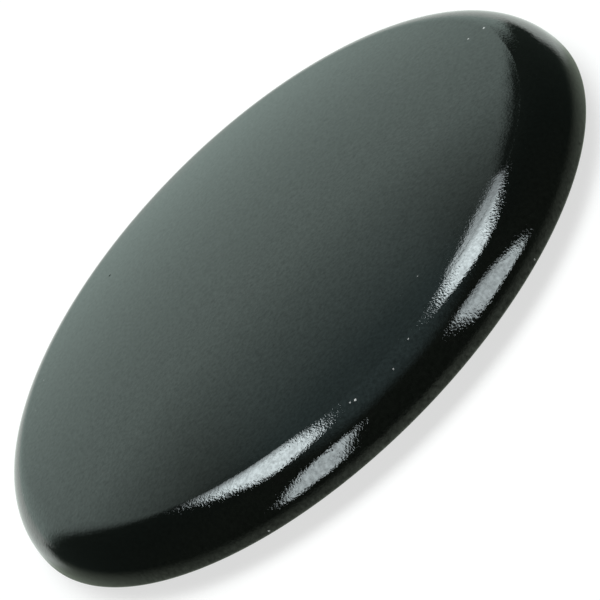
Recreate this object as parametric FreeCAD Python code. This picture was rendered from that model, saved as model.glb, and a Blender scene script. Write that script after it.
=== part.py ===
import FreeCAD, Part
import math
import os

# Gas burner cap: the enamelled lid of a small hob burner, cast as one piece.
# It lies as it does on a table, resting on its locating ring. The origin is the middle of
# the ring's foot, +Z is up through the dome, and the cap is round about that axis.
# Lengths are in millimetres.

# Upper side, as seen on the hob
CAP_DIAMETER = 55.0          # across the widest line of the rim
DOME_RADIUS = 140.0          # curve of the shallow dome
SHOULDER_RADIUS = 3.8        # roll of the shoulder, from the dome to the widest line
RIM_EDGE_ROUND = 0.3         # turn from the widest line in under the rim

# Underside, which drops into the burner head
BURNER_BORE_DIAMETER = 38.5  # opening of the burner head that takes the locating ring
RING_CLEARANCE = 0.25        # gap all round between the ring and that opening
RING_DEPTH = 1.8             # how far the ring stands below the flat seat
RING_WALL = 2.4              # width of the ring at its foot
RING_EDGE_ROUND = 0.5        # both edges of the ring's foot
RING_ROOT_FILLET = 0.3       # corner between the ring and the seat
DOME_WALL = 3.0              # thickness of the dome over the hollow
HOLLOW_FILLET = 1.6          # corner between the hollow's wall and its roof
HOLLOW_DRAFT_DEG = 5.0       # lean of the hollow's wall, wider at the mouth

# Directions in the section: outward from the axis, and up
OUTWARD = 0.0
UP = math.pi / 2
INWARD = math.pi
DOWN = -math.pi / 2


def section_point(radius, height):
    """A point of the section, by its distance from the axis and its height."""
    return FreeCAD.Vector(radius, 0.0, height)


def heading(angle):
    """A unit step in the section, in a direction counted from outward towards up."""
    return section_point(math.cos(angle), math.sin(angle))


def arc(centre, radius, start, end):
    """An arc about a centre, from one direction round to another."""
    middle = (start + end) / 2
    return Part.Arc(
        centre + heading(start) * radius,
        centre + heading(middle) * radius,
        centre + heading(end) * radius,
    )


def upper_side():
    """The dome, the shoulder and the rim's edge: one run, from the axis round to the seat."""
    rim_radius = CAP_DIAMETER / 2
    widest_height = RING_DEPTH + RIM_EDGE_ROUND
    shoulder_centre = section_point(rim_radius - SHOULDER_RADIUS, widest_height)

    # The dome runs into the shoulder without a kink, so the two centres are in line
    # with the point where the curves meet.
    between_centres = DOME_RADIUS - SHOULDER_RADIUS
    meeting = math.acos(shoulder_centre.x / between_centres)
    dome_centre = section_point(0.0, widest_height - between_centres * math.sin(meeting))

    edge_centre = section_point(rim_radius - RIM_EDGE_ROUND, widest_height)
    return dome_centre, [
        arc(dome_centre, DOME_RADIUS, UP, meeting),
        arc(shoulder_centre, SHOULDER_RADIUS, meeting, OUTWARD),
        arc(edge_centre, RIM_EDGE_ROUND, OUTWARD, DOWN),
    ]


def locating_ring():
    """The ring's root on the seat and both edges of its foot, each a run of its own."""
    ring_radius = BURNER_BORE_DIAMETER / 2 - RING_CLEARANCE
    hollow_radius = ring_radius - RING_WALL
    draft = math.radians(HOLLOW_DRAFT_DEG)
    inner_offset = RING_EDGE_ROUND * (1 - math.sin(draft)) / math.cos(draft)

    root_centre = section_point(ring_radius + RING_ROOT_FILLET, RING_DEPTH - RING_ROOT_FILLET)
    outer_centre = section_point(ring_radius - RING_EDGE_ROUND, RING_EDGE_ROUND)
    inner_centre = section_point(hollow_radius + inner_offset, RING_EDGE_ROUND)
    return [
        [arc(root_centre, RING_ROOT_FILLET, UP, INWARD)],
        [arc(outer_centre, RING_EDGE_ROUND, OUTWARD, DOWN)],
        [arc(inner_centre, RING_EDGE_ROUND, DOWN, draft - math.pi)],
    ]


def hollow(dome_centre):
    """The corner and the roof of the hollow: one run, which ends on the axis."""
    ring_radius = BURNER_BORE_DIAMETER / 2 - RING_CLEARANCE
    draft = math.radians(HOLLOW_DRAFT_DEG)
    roof_radius = DOME_RADIUS - DOME_WALL

    # The corner's centre lies on a line beside the leaning wall, and on a circle inside the roof.
    up_the_wall = heading(UP + draft)
    mouth = section_point(ring_radius - RING_WALL, 0.0)
    beside_mouth = mouth - heading(draft) * HOLLOW_FILLET - dome_centre
    along = beside_mouth.dot(up_the_wall)
    reach = roof_radius - HOLLOW_FILLET
    climb = math.sqrt(along ** 2 - beside_mouth.Length ** 2 + reach ** 2) - along
    corner_from_dome = beside_mouth + up_the_wall * climb
    meeting = math.atan2(corner_from_dome.z, corner_from_dome.x)
    return [
        arc(dome_centre + corner_from_dome, HOLLOW_FILLET, draft, meeting),
        arc(dome_centre, roof_radius, meeting, UP),
    ]


def closed_outline(runs):
    """One closed outline: arcs that meet make a run, and a straight line joins it to the next."""
    edges = []
    for current, following in zip(runs, runs[1:] + runs[:1]):
        for curve in current:
            edges.append(curve.toShape())
        joining_line = Part.LineSegment(current[-1].EndPoint, following[0].StartPoint)
        edges.append(joining_line.toShape())
    return Part.Wire(edges)


def burner_cap():
    """The whole cap, its section turned once round the axis."""
    dome_centre, upper = upper_side()
    outline = closed_outline([upper] + locating_ring() + [hollow(dome_centre)])
    section = Part.Face(outline)
    return section.revolve(section_point(0.0, 0.0), heading(UP), 360.0)


def main():
    os.makedirs("parts", exist_ok=True)
    cap = burner_cap()
    if not cap.isValid():
        raise ValueError("the sizes don't give a sound solid")
    cap.exportStep("parts/burner_cap.step")


if __name__ == "__main__":
    main()
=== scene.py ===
"""Gloss black enamelled gas burner cap on a pale studio floor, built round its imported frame."""

import math

import bmesh
import bpy
from mathutils import Matrix, Vector


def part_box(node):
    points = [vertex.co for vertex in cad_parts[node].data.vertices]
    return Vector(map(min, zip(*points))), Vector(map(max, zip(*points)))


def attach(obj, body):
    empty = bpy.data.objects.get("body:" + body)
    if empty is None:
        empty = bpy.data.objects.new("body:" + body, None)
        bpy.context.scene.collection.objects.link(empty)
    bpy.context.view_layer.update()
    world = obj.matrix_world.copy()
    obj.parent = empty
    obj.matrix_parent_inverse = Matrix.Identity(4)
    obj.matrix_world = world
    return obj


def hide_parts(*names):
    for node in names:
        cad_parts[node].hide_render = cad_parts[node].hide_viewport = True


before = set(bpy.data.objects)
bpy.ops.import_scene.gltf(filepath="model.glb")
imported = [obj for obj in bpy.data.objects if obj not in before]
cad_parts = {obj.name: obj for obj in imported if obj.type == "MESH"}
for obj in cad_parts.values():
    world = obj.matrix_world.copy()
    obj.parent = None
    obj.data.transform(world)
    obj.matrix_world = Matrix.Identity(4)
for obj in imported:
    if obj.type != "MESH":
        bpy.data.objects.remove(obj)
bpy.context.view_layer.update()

CAP_LOW, CAP_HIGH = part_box("burner_cap")

bl_info = {
    "name": "Gas Burner Cap",
    "version": (1, 0, 0),
    "blender": (4, 5, 0),
    "location": "View3D > Sidebar > Burner Cap",
    "description": "Models an enamelled gas burner cap and the studio it is shown in",
    "category": "Object",
}

MM = 0.001
AXIS = Vector((0.0, 0.0, 1.0))
SECTION_TURN = Vector((0.0, 1.0, 0.0))   # turning about this goes from up to outward
QUARTER = math.pi / 2
WELD = 1e-6                               # vertices nearer than this are one
FLOOR_GAP = 0.02 * MM                     # from the cap's foot down to the floor
WHITE = (1.0, 1.0, 1.0, 1.0)

# The picture that the camera's fit is given in
PICTURE_SIDE = 600.0

# Faces along each stretch of the section, from the dome round to the hollow's roof
DOME_STEPS = 36
SHOULDER_STEPS = 48
EDGE_STEPS = 6
SEAT_STEPS = 6
ROOT_STEPS = 5
RING_SIDE_STEPS = 2
RING_FOOT_STEPS = 2
HOLLOW_WALL_STEPS = 3
HOLLOW_FILLET_STEPS = 8
HOLLOW_ROOF_STEPS = 24

# Zones of the enamel. A pair of numbers is where a change starts and where it ends, unless a
# comment says otherwise
UNDERSIDE_FACING = (-0.3, -0.8)           # upward part of the normal, into the underside
EDGE_BAND_RISE = (1.15, 0.45)             # millimetres above the seat, into the dull band
THIN_COAT_RISE = (0.05, -0.15)            # millimetres above the shoulder's top, into the peel
DOME_PEEL_SHARE = 0.12                    # peel that is left on the dome

# Finish of the enamel: patterns in cycles for each millimetre, heights in metres
MOTTLE_SCALE = 3.0
BAND_ROUGH_SPREAD = 0.16
BAND_BLOTCHES = 0.8
WAVE_SCALE = 0.35
WAVE_HEIGHT = 0.000004
GRAIN_SCALE = 7.0
GRAIN_HEIGHT = 0.000020
BAND_GRAIN_SHARE = 0.35
SPECK_CELLS = 0.55
SPECK_ABOVE = 0.80                        # cells that draw more than this hold a speck
SPECK_RADIUS = (0.012, 0.035)             # smallest, and how much the draw adds
SPECK_LIGHTNESS = 0.16
GLOSS_SCALE = 3.5
GLOSS_SPREAD = 0.76
GLOSS_LOWEST = 0.12

# Larger specks of dust in the enamel: place and radius in millimetres, then lightness
DUST = (
    ((-2.4, -25.45, 5.4), 0.12, 0.60),
    ((-2.8, -25.30, 5.5), 0.09, 0.40),
    ((-4.8, -25.60, 5.2), 0.08, 0.25),
    ((1.1, -25.90, 5.2), 0.09, 0.30),
    ((3.4, -25.00, 5.6), 0.10, 0.30),
    ((5.0, -24.40, 5.8), 0.08, 0.25),
    ((24.3, 2.60, 5.8), 0.14, 0.55),
    ((22.9, 2.70, 6.1), 0.12, 0.40),
    ((-25.3, 3.50, 5.5), 0.11, 0.30),
    ((-13.5, -23.95, 2.2), 0.11, 0.60),
    ((13.9, -23.75, 2.2), 0.10, 0.50),
)

# Pinholes in the enamel: place and radius in millimetres
PINHOLES = (
    ((-8.6, -24.4, 5.2), 0.12),
    ((-6.1, -26.1, 4.2), 0.11),
    ((-9.1, 18.4, 6.5), 0.18),
)

# The backdrop that the gloss mirrors: across and up, at a distance of one
ARCH_LEFT = 0.70
ARCH_RIGHT = 0.48
ARCH_EDGE = (1.08, 0.90)
RIGHT_SIDE_RISE = (0.46, 0.25)
RIGHT_SIDE_ACROSS = (0.227, 0.395)        # how far out the side stands at those two heights
LEAN_ABOVE = 0.66
LEAN = 0.14
SIDE_BLUR = 0.009
BACKDROP_DIMS = (0.99, 0.56)
BACKDROP_FOOT = (0.10, 0.02)

# The ceiling strip that the gloss mirrors: across and along, at a height of one
STRIP_NARROWS = (0.5, 1.1)
STRIP_EDGE = (0.55, 0.24)                 # how far out its edge is at those two places
STRIP_CORE = 0.10
STRIP_STARTS = (-0.85, -0.15)
STRIP_DIMS = (0.30, 0.9)
STRIP_FAR_SHARE = 0.60

# The walls turn from those behind the camera to the far ones, by how far ahead they are
WALL_TURN = (-0.4, 0.6)

# The floor that the gloss mirrors, as painted light: a glow, pale close to the rim and dark further
# out, in metres from the cap's axis
GLOSS_FLOOR_SQUEEZE = 1.4                 # it darkens this much sooner sideways
FAR_FLOOR_STARTS = (0.000, 0.008)
FAR_FLOOR_SPREAD = 0.62
FAR_FLOOR_EDGE = (0.036, 0.028)
DARK_FLOOR_TURN = (-0.020, 0.020)

# Overhead softboxes: outlines across and along at a height of one, and where each is dark
OVERHEAD_LEFT = ((-0.19, 0.14), (-0.25, -0.04), (-0.46, -0.11), (-0.51, 0.00),
                 (-0.46, 0.42), (-0.28, 1.09), (-0.13, 0.93))
OVERHEAD_RIGHT = ((0.245, 0.13), (0.42, 0.12), (0.49, 0.22),
                  (0.345, 0.72), (0.275, 1.235), (0.125, 0.97))
OVERHEAD_DIMS_FROM = 0.35
OVERHEAD_LEFT_DARK_AT = 1.12
OVERHEAD_RIGHT_DARK_AT = 1.40
OVERHEAD_FAR_SHARE = 0.1
OVERHEAD_ROUNDING = 0.03

# Front softboxes: outlines across and up at a distance of one
FRONT_AWAY = 1.5
FRONT_LEFT = ((-1.07, 0.18), (-1.07, 0.45), (-0.90, 1.10),
              (-0.60, 1.20), (-0.34, 1.00), (-0.46, 0.17))
FRONT_RIGHT = ((0.70, 0.23), (0.63, 0.60), (0.64, 1.10), (0.84, 1.60),
               (1.42, 1.92), (1.83, 0.85), (1.87, 0.33))
FRONT_DIMS = (0.9, 1.8)
FRONT_TOP_SHARE = 0.4
FRONT_ROUNDING = 0.05
CLOTH_CORNER_STEPS = 5

# The broad lamp for matt surfaces: its side over its height, and about what share of a full sky
# a level surface below it takes in
MATT_LAMP_SIDE = 1.2
MATT_LAMP_SHARE = 0.24


class CapSettings(bpy.types.PropertyGroup):
    """Sizes and finish of the cap."""

    diameter: bpy.props.FloatProperty(
        name="Diameter", description="Width across the widest line of the rim",
        default=CAP_HIGH.x - CAP_LOW.x, min=0.02, max=0.2, unit="LENGTH", precision=5)
    dome_radius: bpy.props.FloatProperty(
        name="Dome Radius", description="Curve of the shallow dome",
        default=0.140, min=0.05, max=1.0, unit="LENGTH", precision=5)
    shoulder_radius: bpy.props.FloatProperty(
        name="Shoulder Radius", description="Roll of the shoulder from the dome to the rim",
        default=0.0038, min=0.001, max=0.01, unit="LENGTH", precision=5)
    rim_edge: bpy.props.FloatProperty(
        name="Rim Edge", description="Small turn from the widest line in under the rim",
        default=0.0003, min=0.0001, max=0.002, unit="LENGTH", precision=5)
    ring_radius: bpy.props.FloatProperty(
        name="Ring Radius", description="Outside of the locating ring under the cap",
        default=0.0190, min=0.005, max=0.08, unit="LENGTH", precision=5)
    ring_depth: bpy.props.FloatProperty(
        name="Ring Depth", description="How far the locating ring stands below the seat",
        default=0.0018, min=0.0005, max=0.01, unit="LENGTH", precision=5)
    ring_wall: bpy.props.FloatProperty(
        name="Ring Wall", description="Width of the locating ring at its foot",
        default=0.0024, min=0.001, max=0.01, unit="LENGTH", precision=5)
    ring_edge: bpy.props.FloatProperty(
        name="Ring Edge", description="Rounding of both edges of the ring's foot",
        default=0.0005, min=0.0001, max=0.002, unit="LENGTH", precision=5)
    ring_root: bpy.props.FloatProperty(
        name="Ring Root", description="Fillet between the ring and the seat",
        default=0.0003, min=0.0001, max=0.002, unit="LENGTH", precision=5)
    dome_wall: bpy.props.FloatProperty(
        name="Dome Wall", description="Thickness of the dome over the hollow",
        default=0.0030, min=0.001, max=0.01, unit="LENGTH", precision=5)
    hollow_fillet: bpy.props.FloatProperty(
        name="Hollow Fillet", description="Corner between the hollow's wall and its roof",
        default=0.0016, min=0.0002, max=0.004, unit="LENGTH", precision=5)
    hollow_draft: bpy.props.FloatProperty(
        name="Hollow Draft", description="Lean of the hollow's wall, wider at the mouth",
        default=math.radians(5.0), min=0.0, max=0.5, subtype="ANGLE")
    turn_steps: bpy.props.IntProperty(
        name="Turn Steps", description="Faces round the cap",
        default=288, min=32, max=512)
    enamel_color: bpy.props.FloatVectorProperty(
        name="Enamel", description="Colour of the enamel under its gloss",
        subtype="COLOR", size=3, min=0.0, max=1.0, default=(0.0015, 0.0018, 0.0016))
    gloss_roughness: bpy.props.FloatProperty(
        name="Gloss Roughness", description="Roughness of the fired gloss on the dome",
        default=0.025, min=0.0, max=1.0, subtype="FACTOR")
    edge_roughness: bpy.props.FloatProperty(
        name="Edge Roughness", description="Roughness of the duller band along the rim's edge",
        default=0.22, min=0.0, max=1.0, subtype="FACTOR")
    underside_roughness: bpy.props.FloatProperty(
        name="Underside Roughness", description="Roughness of the thin coat under the cap",
        default=0.45, min=0.0, max=1.0, subtype="FACTOR")
    peel_size: bpy.props.FloatProperty(
        name="Peel Size", description="Spacing of the fine orange peel in the gloss",
        default=0.00019, min=0.00005, max=0.002, unit="LENGTH", precision=6)
    peel_height: bpy.props.FloatProperty(
        name="Peel Height", description="Height of the fine orange peel in the gloss",
        default=0.000011, min=0.0, max=0.0001, unit="LENGTH", precision=7)


class StudioSettings(bpy.types.PropertyGroup):
    """The camera, the floor and the lights."""

    camera_distance: bpy.props.FloatProperty(
        name="Camera Distance", description="From the camera to the middle of the seat",
        default=0.495, min=0.1, max=5.0, unit="LENGTH")
    camera_elevation: bpy.props.FloatProperty(
        name="Camera Elevation", description="How far above level the camera stands",
        default=math.radians(25.34), min=0.0, max=QUARTER, subtype="ANGLE")
    camera_roll: bpy.props.FloatProperty(
        name="Camera Roll", description="Turn of the camera about its line of sight",
        default=math.radians(-45.42), min=-math.pi, max=math.pi, subtype="ANGLE")
    scale_px_per_mm: bpy.props.FloatProperty(
        name="Picture Scale", description="Picture points for each millimetre at the seat's middle",
        default=13.258, min=1.0, max=100.0)
    seat_middle_px: bpy.props.FloatVectorProperty(
        name="Seat Middle", description="Where the middle of the seat lies in the picture",
        size=2, default=(302.83, 301.32))
    floor_size: bpy.props.FloatProperty(
        name="Floor Size", description="Side of the square floor",
        default=8.0, min=1.0, max=50.0, unit="LENGTH")
    floor_color: bpy.props.FloatVectorProperty(
        name="Floor", description="Colour of the pale floor",
        subtype="COLOR", size=3, min=0.0, max=1.0, default=(0.34, 0.34, 0.34))
    floor_lift: bpy.props.FloatProperty(
        name="Floor Lift", description="White added where the floor is looked at",
        default=0.68, min=0.0, max=1.0, subtype="FACTOR")
    # Painted light: the colour of the glow that the gloss sees on the floor, standing in for the lit
    # studio floor
    painted_floor_light_color: bpy.props.FloatVectorProperty(
        name="Floor in the Gloss", description="Colour of the lit floor as the gloss mirrors it",
        subtype="COLOR", size=3, min=0.0, max=1.0, default=(0.87, 1.0, 0.82))
    # Distance from the rim over which that painted glow on the floor fades to dark
    painted_floor_light_reach: bpy.props.FloatProperty(
        name="Floor Reach", description="Distance from the rim over which the mirrored floor darkens",
        default=0.015, min=0.001, max=1.0, unit="LENGTH")
    ceiling_height: bpy.props.FloatProperty(
        name="Ceiling Height", description="Height of the two long softboxes overhead",
        default=1.5, min=0.3, max=5.0, unit="LENGTH")
    overhead_radiance: bpy.props.FloatProperty(
        name="Overhead Brightness", description="Brightness of the overhead softboxes in the gloss",
        default=13.6, min=0.0, max=100.0)
    front_radiance: bpy.props.FloatProperty(
        name="Front Brightness", description="Brightness of the front softboxes in the gloss",
        default=8.7, min=0.0, max=100.0)
    softbox_color: bpy.props.FloatVectorProperty(
        name="Softboxes", description="Tint of the softboxes",
        subtype="COLOR", size=3, min=0.0, max=1.0, default=(0.87, 0.98, 1.0))
    matt_light: bpy.props.FloatProperty(
        name="Matt Light", description="Light that falls on matt surfaces from overhead",
        default=2.2, min=0.0, max=20.0)
    backdrop_color: bpy.props.FloatVectorProperty(
        name="Backdrop", description="Colour of the pale backdrop behind the cap",
        subtype="COLOR", size=3, min=0.0, max=1.0, default=(0.70, 0.87, 0.81))
    backdrop_foot_color: bpy.props.FloatVectorProperty(
        name="Backdrop Foot", description="Colour of the backdrop where it meets the floor",
        subtype="COLOR", size=3, min=0.0, max=1.2, default=(0.92, 1.0, 0.95))
    ceiling_color: bpy.props.FloatVectorProperty(
        name="Ceiling", description="Colour of the ceiling between the softboxes",
        subtype="COLOR", size=3, min=0.0, max=1.0, default=(0.37, 0.53, 0.53))
    far_wall_color: bpy.props.FloatVectorProperty(
        name="Far Walls", description="Colour of the dark walls beside the backdrop",
        subtype="COLOR", size=3, min=0.0, max=1.0, default=(0.045, 0.062, 0.052))
    wall_color: bpy.props.FloatVectorProperty(
        name="Walls", description="Colour of the dark walls behind the camera",
        subtype="COLOR", size=3, min=0.0, max=1.0, default=(0.080, 0.100, 0.078))


def place(radius, height):
    """A point of the cap's section, by its distance from the axis and its height."""
    return Vector((radius, 0.0, height))


def sweep(mesh, end, centre, angle, steps):
    """Carries the section's end round a centre, and returns the new end."""
    swept = bmesh.ops.spin(
        mesh, geom=[end], cent=centre, axis=SECTION_TURN, dvec=(0.0, 0.0, 0.0),
        angle=angle, steps=steps, use_merge=False, use_normal_flip=False, use_duplicate=False)
    return next(part for part in swept["geom_last"] if isinstance(part, bmesh.types.BMVert))


def draw_to(mesh, end, target, steps=1):
    """Carries the section's end straight to a point, and returns the new end."""
    step = (target - end.co) / steps
    for _ in range(steps):
        drawn = bmesh.ops.extrude_vert_indiv(mesh, verts=[end])
        end = drawn["verts"][0]
        bmesh.ops.translate(mesh, verts=[end], vec=step)
    return end


def slope_at_shoulder(cap):
    """The dome's slope where the shoulder takes it over."""
    across = cap.diameter / 2 - cap.shoulder_radius
    return math.asin(across / (cap.dome_radius - cap.shoulder_radius))


def draw_upper_section(mesh, cap):
    """Dome, shoulder and rim edge, from the middle of the dome out and round to the seat."""
    rim_radius = cap.diameter / 2
    widest = cap.ring_depth + cap.rim_edge
    slope = slope_at_shoulder(cap)
    shoulder_centre = place(rim_radius - cap.shoulder_radius, widest)
    dome_centre = place(0.0, widest - (cap.dome_radius - cap.shoulder_radius) * math.cos(slope))

    end = mesh.verts.new(dome_centre + AXIS * cap.dome_radius)
    end = sweep(mesh, end, dome_centre, slope, DOME_STEPS)
    end = sweep(mesh, end, shoulder_centre, QUARTER - slope, SHOULDER_STEPS)
    end = sweep(mesh, end, place(rim_radius - cap.rim_edge, widest), QUARTER, EDGE_STEPS)
    return end, dome_centre


def draw_ring_section(mesh, cap, end):
    """Seat and locating ring, from the rim's edge in to the hollow's mouth."""
    seat = cap.ring_depth
    radius = cap.ring_radius
    edge = cap.ring_edge
    draft = cap.hollow_draft
    inner_offset = edge * (1.0 - math.sin(draft)) / math.cos(draft)
    inner = radius - cap.ring_wall + inner_offset

    end = draw_to(mesh, end, place(radius + cap.ring_root, seat), SEAT_STEPS)
    root = place(radius + cap.ring_root, seat - cap.ring_root)
    end = sweep(mesh, end, root, -QUARTER, ROOT_STEPS)
    end = draw_to(mesh, end, place(radius, edge), RING_SIDE_STEPS)
    end = sweep(mesh, end, place(radius - edge, edge), QUARTER, EDGE_STEPS)
    end = draw_to(mesh, end, place(inner, 0.0), RING_FOOT_STEPS)
    return sweep(mesh, end, place(inner, edge), QUARTER - draft, EDGE_STEPS)


def draw_hollow_section(mesh, cap, end, dome_centre):
    """Leaning wall, corner and roof of the hollow, in to the axis."""
    draft = cap.hollow_draft
    fillet = cap.hollow_fillet
    roof_radius = cap.dome_radius - cap.dome_wall
    up_the_wall = place(-math.sin(draft), math.cos(draft))
    into_the_wall = place(math.cos(draft), math.sin(draft))
    beside_mouth = place(cap.ring_radius - cap.ring_wall, 0.0) - into_the_wall * fillet - dome_centre
    along = beside_mouth.dot(up_the_wall)
    reach = roof_radius - fillet
    climb = math.sqrt(along ** 2 - beside_mouth.length_squared + reach ** 2) - along
    corner = beside_mouth + up_the_wall * climb
    meeting = math.atan2(corner.z, corner.x)

    wall_end = dome_centre + corner + into_the_wall * fillet
    end = draw_to(mesh, end, wall_end, HOLLOW_WALL_STEPS)
    end = sweep(mesh, end, dome_centre + corner, draft - meeting, HOLLOW_FILLET_STEPS)
    end = sweep(mesh, end, dome_centre, meeting - QUARTER, HOLLOW_ROOF_STEPS)
    end.co.x = 0.0


def turn_cap(cap):
    """The cap's mesh: its section drawn once and turned about the axis."""
    mesh = bmesh.new()
    end, dome_centre = draw_upper_section(mesh, cap)
    end = draw_ring_section(mesh, cap, end)
    draw_hollow_section(mesh, cap, end, dome_centre)
    bmesh.ops.spin(
        mesh, geom=mesh.verts[:] + mesh.edges[:], cent=(0.0, 0.0, 0.0), axis=AXIS,
        dvec=(0.0, 0.0, 0.0), angle=2.0 * math.pi, steps=cap.turn_steps,
        use_merge=True, use_normal_flip=False, use_duplicate=False)
    bmesh.ops.remove_doubles(mesh, verts=mesh.verts, dist=WELD)
    bmesh.ops.recalc_face_normals(mesh, faces=mesh.faces)
    for face in mesh.faces:
        face.smooth = True
    data = bpy.data.meshes.new("enamelled_cap")
    mesh.to_mesh(data)
    mesh.free()
    return data


class Nodes:
    """A short way to lay out the node tree of a material or world: each call adds a node and
    links its inputs."""

    def __init__(self, owner):
        owner.use_nodes = True
        self.tree = owner.node_tree
        self.tree.nodes.clear()

    def add(self, kind, **settings):
        node = self.tree.nodes.new(kind)
        for name, value in settings.items():
            setattr(node, name, value)
        return node

    def feed(self, socket, value):
        if isinstance(value, bpy.types.NodeSocket):
            self.tree.links.new(value, socket)
        else:
            socket.default_value = value

    def surface(self, kind, shader):
        """Ends the tree with its output node."""
        self.feed(self.add(kind).inputs["Surface"], shader)

    def parts(self, vector):
        """A vector's three parts."""
        node = self.add("ShaderNodeSeparateXYZ")
        self.feed(node.inputs[0], vector)
        return node.outputs

    def math(self, operation, *values):
        node = self.add("ShaderNodeMath", operation=operation)
        for socket, value in zip(node.inputs, values):
            self.feed(socket, value)
        return node.outputs[0]

    def looked_at(self):
        """One where the camera sees a surface, also through glass."""
        rays = self.add("ShaderNodeLightPath")
        return self.math("MAXIMUM", rays.outputs["Is Camera Ray"],
                         rays.outputs["Is Transmission Ray"])

    def fade(self, value, start, end, low=0.0, high=1.0, how="SMOOTHSTEP"):
        """Runs from low to high as the value goes from start to end."""
        node = self.add("ShaderNodeMapRange", interpolation_type=how)
        for name, number in (("Value", value), ("From Min", start), ("From Max", end),
                             ("To Min", low), ("To Max", high)):
            self.feed(node.inputs[name], number)
        return node.outputs["Result"]

    def blend(self, factor, first, second):
        """A colour between two colours."""
        node = self.add("ShaderNodeMix", data_type="RGBA")
        self.feed(node.inputs["Factor"], factor)
        self.feed(node.inputs[6], first)
        self.feed(node.inputs[7], second)
        return node.outputs[2]

    def noise(self, place_socket, scale, detail, roughness=0.5):
        node = self.add("ShaderNodeTexNoise")
        self.feed(node.inputs["Vector"], place_socket)
        self.feed(node.inputs["Scale"], scale)
        self.feed(node.inputs["Detail"], detail)
        self.feed(node.inputs["Roughness"], roughness)
        return node.outputs["Fac"]

    def dot(self, spot, centre, radius, strength):
        """A small round spot with a soft edge."""
        node = self.add("ShaderNodeVectorMath", operation="DISTANCE")
        self.feed(node.inputs[0], spot)
        self.feed(node.inputs[1], centre)
        return self.fade(node.outputs["Value"], radius, radius * 0.5, 0.0, strength)

    def bump(self, height, distance, below=None):
        node = self.add("ShaderNodeBump")
        self.feed(node.inputs["Strength"], 1.0)
        self.feed(node.inputs["Distance"], distance)
        self.feed(node.inputs["Height"], height)
        if below is not None:
            self.feed(node.inputs["Normal"], below)
        return node.outputs["Normal"]


def opaque(color):
    return (*color, 1.0)


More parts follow.
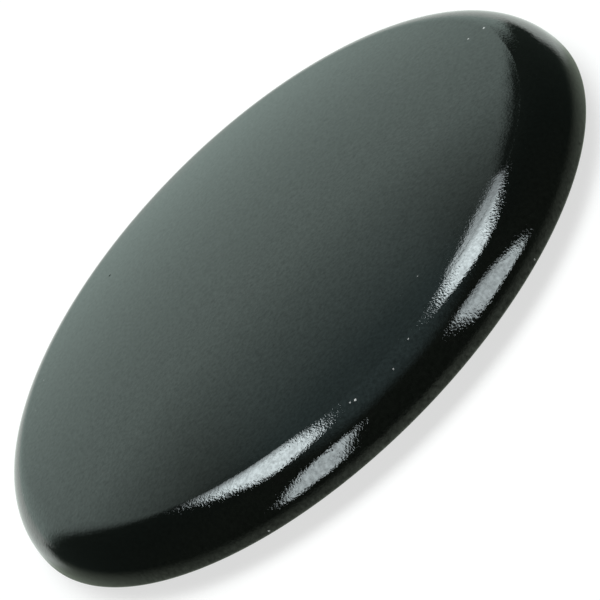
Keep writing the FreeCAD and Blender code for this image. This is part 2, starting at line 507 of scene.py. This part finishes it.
def enamel_material(cap):
    """Black vitreous enamel: deep gloss with fine orange peel, a duller band along the rim's
    edge, a thin matt coat underneath, and the specks of dust and pinholes that it was fired with."""
    material = bpy.data.materials.new("black_enamel")
    nodes = Nodes(material)
    where = nodes.add("ShaderNodeTexCoord")
    in_mm = nodes.add("ShaderNodeVectorMath", operation="SCALE")
    nodes.feed(in_mm.inputs[0], where.outputs["Object"])
    in_mm.inputs["Scale"].default_value = 1.0 / MM
    spot = in_mm.outputs[0]
    height = nodes.parts(spot)["Z"]
    facing_up = nodes.parts(where.outputs["Normal"])["Z"]

    # Zones, by height and by the way the surface faces
    seat_mm = cap.ring_depth / MM
    shoulder_rise = cap.rim_edge + cap.shoulder_radius * math.cos(slope_at_shoulder(cap))
    shoulder_top = seat_mm + shoulder_rise / MM
    underside = nodes.fade(facing_up, *UNDERSIDE_FACING)
    edge_band = nodes.fade(height, *(seat_mm + rise for rise in EDGE_BAND_RISE))
    thin_coat = nodes.fade(height, *(shoulder_top + rise for rise in THIN_COAT_RISE),
                           DOME_PEEL_SHARE, 1.0)

    # Roughness: gloss, then the band along the edge, then the underside
    mottle = nodes.noise(spot, MOTTLE_SCALE, 3.0)
    band_rough = nodes.math("MULTIPLY_ADD", mottle, BAND_ROUGH_SPREAD,
                            cap.edge_roughness - BAND_ROUGH_SPREAD / 2)
    duller = nodes.math("SUBTRACT", band_rough, cap.gloss_roughness)
    rough = nodes.math("MULTIPLY_ADD", edge_band, duller, cap.gloss_roughness)
    rough = nodes.math("MAXIMUM", rough, nodes.math("MULTIPLY", underside, cap.underside_roughness))

    # Relief: slow waves, fine orange peel, and the grain of the matt coat
    relief = nodes.bump(nodes.noise(spot, WAVE_SCALE, 1.0), WAVE_HEIGHT)
    peel = nodes.noise(spot, MM / cap.peel_size, 2.0, 0.55)
    relief = nodes.bump(nodes.math("MULTIPLY", peel, thin_coat), cap.peel_height, relief)
    grain = nodes.noise(spot, GRAIN_SCALE, 3.0, 0.6)
    coarse = nodes.math("MAXIMUM", underside, nodes.math("MULTIPLY", edge_band, BAND_GRAIN_SHARE))
    relief = nodes.bump(nodes.math("MULTIPLY", grain, coarse), GRAIN_HEIGHT, relief)

    # Dust that was fired in: fine specks all over, and the large ones by their place
    cells = nodes.add("ShaderNodeTexVoronoi", feature="F1")
    nodes.feed(cells.inputs["Vector"], spot)
    cells.inputs["Scale"].default_value = SPECK_CELLS
    draw = nodes.add("ShaderNodeSeparateColor")
    nodes.feed(draw.inputs[0], cells.outputs["Color"])
    chosen = nodes.math("GREATER_THAN", draw.outputs[0], SPECK_ABOVE)
    smallest, added = SPECK_RADIUS
    size = nodes.math("MULTIPLY_ADD", draw.outputs[1], added, smallest)
    speck = nodes.math("MULTIPLY", nodes.math("LESS_THAN", cells.outputs["Distance"], size), chosen)
    dust = nodes.math("MULTIPLY", speck, SPECK_LIGHTNESS)
    for centre, radius, lightness in DUST:
        dust = nodes.math("MAXIMUM", dust, nodes.dot(spot, centre, radius, lightness))
    pinholes = 0.0
    for centre, radius in PINHOLES:
        pinholes = nodes.math("MAXIMUM", pinholes, nodes.dot(spot, centre, radius, 1.0))

    # Strength of the gloss: fine mottling, which is coarser along the edge, and none in pinholes
    fine = nodes.math("MULTIPLY_ADD", nodes.noise(spot, GLOSS_SCALE, 3.0, 0.6),
                      GLOSS_SPREAD, GLOSS_LOWEST)
    blotches = nodes.math("MULTIPLY", nodes.math("SUBTRACT", mottle, 0.5),
                          nodes.math("MULTIPLY", edge_band, BAND_BLOTCHES))
    gloss = nodes.math("ADD", fine, blotches)
    gloss = nodes.math("MULTIPLY", gloss, nodes.math("SUBTRACT", 1.0, pinholes))

    shader = nodes.add("ShaderNodeBsdfPrincipled")
    nodes.feed(shader.inputs["Base Color"], nodes.blend(dust, opaque(cap.enamel_color), WHITE))
    nodes.feed(shader.inputs["Roughness"], rough)
    shader.inputs["IOR"].default_value = 1.5
    nodes.feed(shader.inputs["Specular IOR Level"], gloss)
    nodes.feed(shader.inputs["Normal"], relief)
    nodes.surface("ShaderNodeOutputMaterial", shader.outputs[0])
    return material


def mirrored_backdrop(nodes, right, far, up):
    """How bright the pale backdrop is in each direction, and how near that is to its foot."""
    ahead = nodes.math("MAXIMUM", far, 0.02)
    across = nodes.math("DIVIDE", right, ahead)
    rise = nodes.math("DIVIDE", up, ahead)

    # An arch, narrower on the right
    on_the_right = nodes.math("GREATER_THAN", across, 0.0)
    half_width = nodes.math("SUBTRACT", ARCH_LEFT,
                            nodes.math("MULTIPLY", on_the_right, ARCH_LEFT - ARCH_RIGHT))
    sideways = nodes.math("POWER", nodes.math("DIVIDE", across, half_width), 2.0)
    upward = nodes.math("POWER", rise, 2.0)
    arch = nodes.math("SQRT", nodes.math("ADD", sideways, upward))

    # Its right side is cut off: widest low down, upright above that, and leaning in at the top
    over = nodes.math("MAXIMUM", nodes.math("SUBTRACT", rise, LEAN_ABOVE), 0.0)
    right_side = nodes.math("SUBTRACT", nodes.fade(rise, *RIGHT_SIDE_RISE, *RIGHT_SIDE_ACROSS),
                            nodes.math("MULTIPLY", over, LEAN))
    inside = nodes.fade(nodes.math("SUBTRACT", across, right_side), SIDE_BLUR, -SIDE_BLUR)

    backdrop = nodes.math("MULTIPLY", nodes.fade(arch, *ARCH_EDGE), inside)
    lit = nodes.math("MULTIPLY", backdrop, nodes.fade(rise, *BACKDROP_DIMS, how="LINEAR"))
    return lit, nodes.fade(rise, *BACKDROP_FOOT)


def mirrored_ceiling(nodes, right, far, up):
    """How bright the ceiling is in each direction: a strip overhead, which starts behind the
    camera, and narrows and dims on its way to the backdrop."""
    above = nodes.math("MAXIMUM", up, 0.05)
    across = nodes.math("ABSOLUTE", nodes.math("DIVIDE", right, above))
    along = nodes.math("DIVIDE", far, above)
    edge = nodes.fade(along, *STRIP_NARROWS, *STRIP_EDGE)
    strip = nodes.math("MULTIPLY", nodes.fade(across, edge, STRIP_CORE),
                       nodes.fade(along, *STRIP_STARTS))
    return nodes.math("MULTIPLY", strip, nodes.fade(along, *STRIP_DIMS, 1.0, STRIP_FAR_SHARE))


def studio_world(studio):
    """What the gloss mirrors: a pale arched backdrop behind the cap, a grey ceiling between the
    overhead softboxes, and dark walls. Looked at directly, the surroundings are white."""
    world = bpy.data.worlds.new("studio")
    nodes = Nodes(world)
    right, far, up = nodes.parts(nodes.add("ShaderNodeTexCoord").outputs["Generated"])
    walls = nodes.blend(nodes.fade(far, *WALL_TURN),
                        opaque(studio.wall_color), opaque(studio.far_wall_color))
    ceiling = mirrored_ceiling(nodes, right, far, up)
    room = nodes.blend(ceiling, walls, opaque(studio.ceiling_color))
    lit, foot = mirrored_backdrop(nodes, right, far, up)
    pale = nodes.blend(foot, opaque(studio.backdrop_color), opaque(studio.backdrop_foot_color))
    room = nodes.blend(lit, room, pale)
    background = nodes.add("ShaderNodeBackground")
    nodes.feed(background.inputs["Color"], nodes.blend(nodes.looked_at(), room, WHITE))
    nodes.surface("ShaderNodeOutputWorld", background.outputs[0])
    return world


def painted_floor_light(nodes, studio, cap):
    """Painted light on the floor, which only the gloss sees: a glow that is pale close to the rim,
    dark further out, and pale all along the far side, where the backdrop meets it."""
    x, y, _ = nodes.parts(nodes.add("ShaderNodeTexCoord").outputs["Object"])
    sideways = nodes.math("POWER", nodes.math("MULTIPLY", x, GLOSS_FLOOR_SQUEEZE), 2.0)
    towards = nodes.math("POWER", nodes.math("MINIMUM", y, 0.0), 2.0)
    away = nodes.math("SQRT", nodes.math("ADD", sideways, towards))
    away = nodes.math("MAXIMUM", nodes.math("SUBTRACT", away, cap.diameter / 2), 0.0)
    near = nodes.math("EXPONENT", nodes.math("DIVIDE", away, -studio.painted_floor_light_reach))
    beside = nodes.math("SUBTRACT", nodes.math("ABSOLUTE", x),
                        nodes.math("MULTIPLY", y, FAR_FLOOR_SPREAD))
    beyond = nodes.math("MULTIPLY", nodes.fade(y, *FAR_FLOOR_STARTS),
                        nodes.fade(beside, *FAR_FLOOR_EDGE))
    # Painted shade further out, and painted light close to the rim
    dark = nodes.blend(nodes.fade(y, *DARK_FLOOR_TURN),
                       opaque(studio.wall_color), opaque(studio.far_wall_color))
    color = nodes.blend(near, dark, opaque(studio.painted_floor_light_color))
    return nodes.blend(beyond, color, opaque(studio.backdrop_foot_color))


def floor_material(studio, cap):
    """Pale matt floor. White is added where it is looked at, and it keeps the shadow. In its place
    the gloss sees a painted glow, which stands in for the lit studio floor."""
    material = bpy.data.materials.new("pale_floor")
    nodes = Nodes(material)
    matt = nodes.add("ShaderNodeBsdfDiffuse")
    matt.inputs["Color"].default_value = opaque(studio.floor_color)
    white = nodes.add("ShaderNodeEmission")
    nodes.feed(white.inputs["Strength"],
               nodes.math("MULTIPLY", nodes.looked_at(), studio.floor_lift))
    pale = nodes.add("ShaderNodeAddShader")
    nodes.feed(pale.inputs[0], matt.outputs[0])
    nodes.feed(pale.inputs[1], white.outputs[0])
    # Painted light: for glossy rays the floor glows instead of being lit, pale near the rim and dark
    # further out
    painted_floor_glow = nodes.add("ShaderNodeEmission")
    nodes.feed(painted_floor_glow.inputs["Color"], painted_floor_light(nodes, studio, cap))
    floor = nodes.add("ShaderNodeMixShader")
    nodes.feed(floor.inputs[0], nodes.add("ShaderNodeLightPath").outputs["Is Glossy Ray"])
    nodes.feed(floor.inputs[1], pale.outputs[0])
    nodes.feed(floor.inputs[2], painted_floor_glow.outputs[0])
    nodes.surface("ShaderNodeOutputMaterial", floor.outputs[0])
    return material


def lay_floor(studio, cap):
    """A square floor, a hair below the cap's foot so that no two faces share a plane."""
    mesh = bmesh.new()
    bmesh.ops.create_grid(mesh, x_segments=1, y_segments=1, size=studio.floor_size / 2)
    bmesh.ops.translate(mesh, verts=mesh.verts, vec=(0.0, 0.0, -FLOOR_GAP))
    data = bpy.data.meshes.new("floor")
    mesh.to_mesh(data)
    mesh.free()
    data.materials.append(floor_material(studio, cap))
    floor = bpy.data.objects.new("floor", data)
    bpy.context.scene.collection.objects.link(floor)


def softbox_material(name, studio, radiance, axis, dims, far_share):
    """Glowing cloth, which dims along one axis."""
    material = bpy.data.materials.new(name)
    nodes = Nodes(material)
    along = nodes.parts(nodes.add("ShaderNodeTexCoord").outputs["Object"])[axis]
    glow = nodes.add("ShaderNodeEmission")
    glow.inputs["Color"].default_value = opaque(studio.softbox_color)
    nodes.feed(glow.inputs["Strength"], nodes.fade(along, *dims, radiance, radiance * far_share))
    nodes.surface("ShaderNodeOutputMaterial", glow.outputs[0])
    return material


def stretch_cloth(name, corners, rounding, material):
    """One panel of softbox cloth with rounded corners, which only the gloss sees."""
    mesh = bmesh.new()
    for corner in corners:
        mesh.verts.new(corner)
    bmesh.ops.contextual_create(mesh, geom=mesh.verts)
    bmesh.ops.bevel(mesh, geom=mesh.verts[:], offset=rounding, offset_type="OFFSET",
                    segments=CLOTH_CORNER_STEPS, profile=0.5, affect="VERTICES", material=-1)
    data = bpy.data.meshes.new(name)
    mesh.to_mesh(data)
    mesh.free()
    data.materials.append(material)
    panel = bpy.data.objects.new(name, data)
    panel.visible_camera = False
    panel.visible_diffuse = False
    panel.visible_transmission = False
    panel.visible_shadow = False
    bpy.context.scene.collection.objects.link(panel)


def hang_overhead_softboxes(studio):
    """Two long softboxes overhead, one each side, which draw together and dim behind the cap."""
    height = studio.ceiling_height
    for outline, dark_at in ((OVERHEAD_LEFT, OVERHEAD_LEFT_DARK_AT),
                             (OVERHEAD_RIGHT, OVERHEAD_RIGHT_DARK_AT)):
        dims = (OVERHEAD_DIMS_FROM * height, dark_at * height)
        cloth = softbox_material("overhead_softbox", studio, studio.overhead_radiance,
                                 "Y", dims, OVERHEAD_FAR_SHARE)
        corners = [Vector((across, along, 1.0)) * height for across, along in outline]
        stretch_cloth("overhead_softbox", corners, OVERHEAD_ROUNDING * height, cloth)


def stand_front_softboxes(studio):
    """Two upright softboxes behind the camera, one each side."""
    dims = [rise * FRONT_AWAY for rise in FRONT_DIMS]
    cloth = softbox_material("front_softbox", studio, studio.front_radiance,
                             "Z", dims, FRONT_TOP_SHARE)
    for outline in (FRONT_LEFT, FRONT_RIGHT):
        corners = [Vector((across, -1.0, up)) * FRONT_AWAY for across, up in outline]
        stretch_cloth("front_softbox", corners, FRONT_ROUNDING * FRONT_AWAY, cloth)


def hang_matt_light(studio):
    """One broad lamp overhead, at a plain level, for matt surfaces and the soft shadow."""
    lamp = bpy.data.lights.new("matt_light", "AREA")
    lamp.shape = "SQUARE"
    lamp.size = MATT_LAMP_SIDE * studio.ceiling_height
    lamp.energy = studio.matt_light * lamp.size ** 2 / MATT_LAMP_SHARE
    holder = bpy.data.objects.new("matt_light", lamp)
    holder.matrix_world = Matrix.Translation((0.0, 0.0, studio.ceiling_height))
    holder.visible_camera = False
    holder.visible_glossy = False
    bpy.context.scene.collection.objects.link(holder)


def aim_camera(studio, cap):
    """A long lens on the seat's middle, rolled, at the scale that the picture has."""
    data = bpy.data.cameras.new("camera")
    data.sensor_width = 36.0
    focal_px = studio.scale_px_per_mm * studio.camera_distance / MM
    data.lens = focal_px * data.sensor_width / PICTURE_SIDE
    middle = PICTURE_SIDE / 2
    data.shift_x = (middle - studio.seat_middle_px[0]) / PICTURE_SIDE
    data.shift_y = (studio.seat_middle_px[1] - middle) / PICTURE_SIDE
    data.clip_end = 100.0
    camera = bpy.data.objects.new("camera", data)
    tilt = Matrix.Rotation(QUARTER - studio.camera_elevation, 4, "X")
    turn = tilt @ Matrix.Rotation(studio.camera_roll, 4, "Z")
    back = turn.to_3x3() @ AXIS
    stand = place(0.0, cap.ring_depth) + back * studio.camera_distance
    camera.matrix_world = Matrix.Translation(stand) @ turn
    bpy.context.scene.collection.objects.link(camera)
    bpy.context.scene.camera = camera


class BURNERCAP_OT_cap(bpy.types.Operator):
    """Models the enamelled cap in place of its CAD node."""

    bl_idname = "burner_cap.cap"
    bl_label = "Enamelled Cap"

    def execute(self, context):
        cap = context.scene.burner_cap
        data = turn_cap(cap)
        data.materials.append(enamel_material(cap))
        piece = bpy.data.objects.new("enamelled_cap", data)
        context.scene.collection.objects.link(piece)
        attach(piece, "root")
        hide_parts("burner_cap")
        return {"FINISHED"}


class BURNERCAP_OT_studio(bpy.types.Operator):
    """Sets up the floor, the surroundings, the softboxes and the camera."""

    bl_idname = "burner_cap.studio"
    bl_label = "Studio"

    def execute(self, context):
        studio = context.scene.burner_cap_studio
        cap = context.scene.burner_cap
        context.scene.view_settings.view_transform = "Standard"
        lay_floor(studio, cap)
        context.scene.world = studio_world(studio)
        hang_overhead_softboxes(studio)
        stand_front_softboxes(studio)
        hang_matt_light(studio)
        aim_camera(studio, cap)
        return {"FINISHED"}


class BURNERCAP_PT_sidebar(bpy.types.Panel):
    """The cap's and the studio's sizes, with a button for each."""

    bl_idname = "BURNERCAP_PT_sidebar"
    bl_label = "Gas Burner Cap"
    bl_space_type = "VIEW_3D"
    bl_region_type = "UI"
    bl_category = "Burner Cap"

    def draw(self, context):
        layout = self.layout
        for settings, operator in ((context.scene.burner_cap, BURNERCAP_OT_cap),
                                   (context.scene.burner_cap_studio, BURNERCAP_OT_studio)):
            box = layout.box()
            for name in settings.__annotations__:
                box.prop(settings, name)
            box.operator(operator.bl_idname)


CLASSES = (CapSettings, StudioSettings, BURNERCAP_OT_cap, BURNERCAP_OT_studio, BURNERCAP_PT_sidebar)


def register():
    for item in CLASSES:
        bpy.utils.register_class(item)
    bpy.types.Scene.burner_cap = bpy.props.PointerProperty(type=CapSettings)
    bpy.types.Scene.burner_cap_studio = bpy.props.PointerProperty(type=StudioSettings)


def unregister():
    del bpy.types.Scene.burner_cap_studio
    del bpy.types.Scene.burner_cap
    for item in reversed(CLASSES):
        bpy.utils.unregister_class(item)


def main():
    register()
    bpy.ops.burner_cap.cap()
    bpy.ops.burner_cap.studio()


if __name__ == "__main__":
    main()
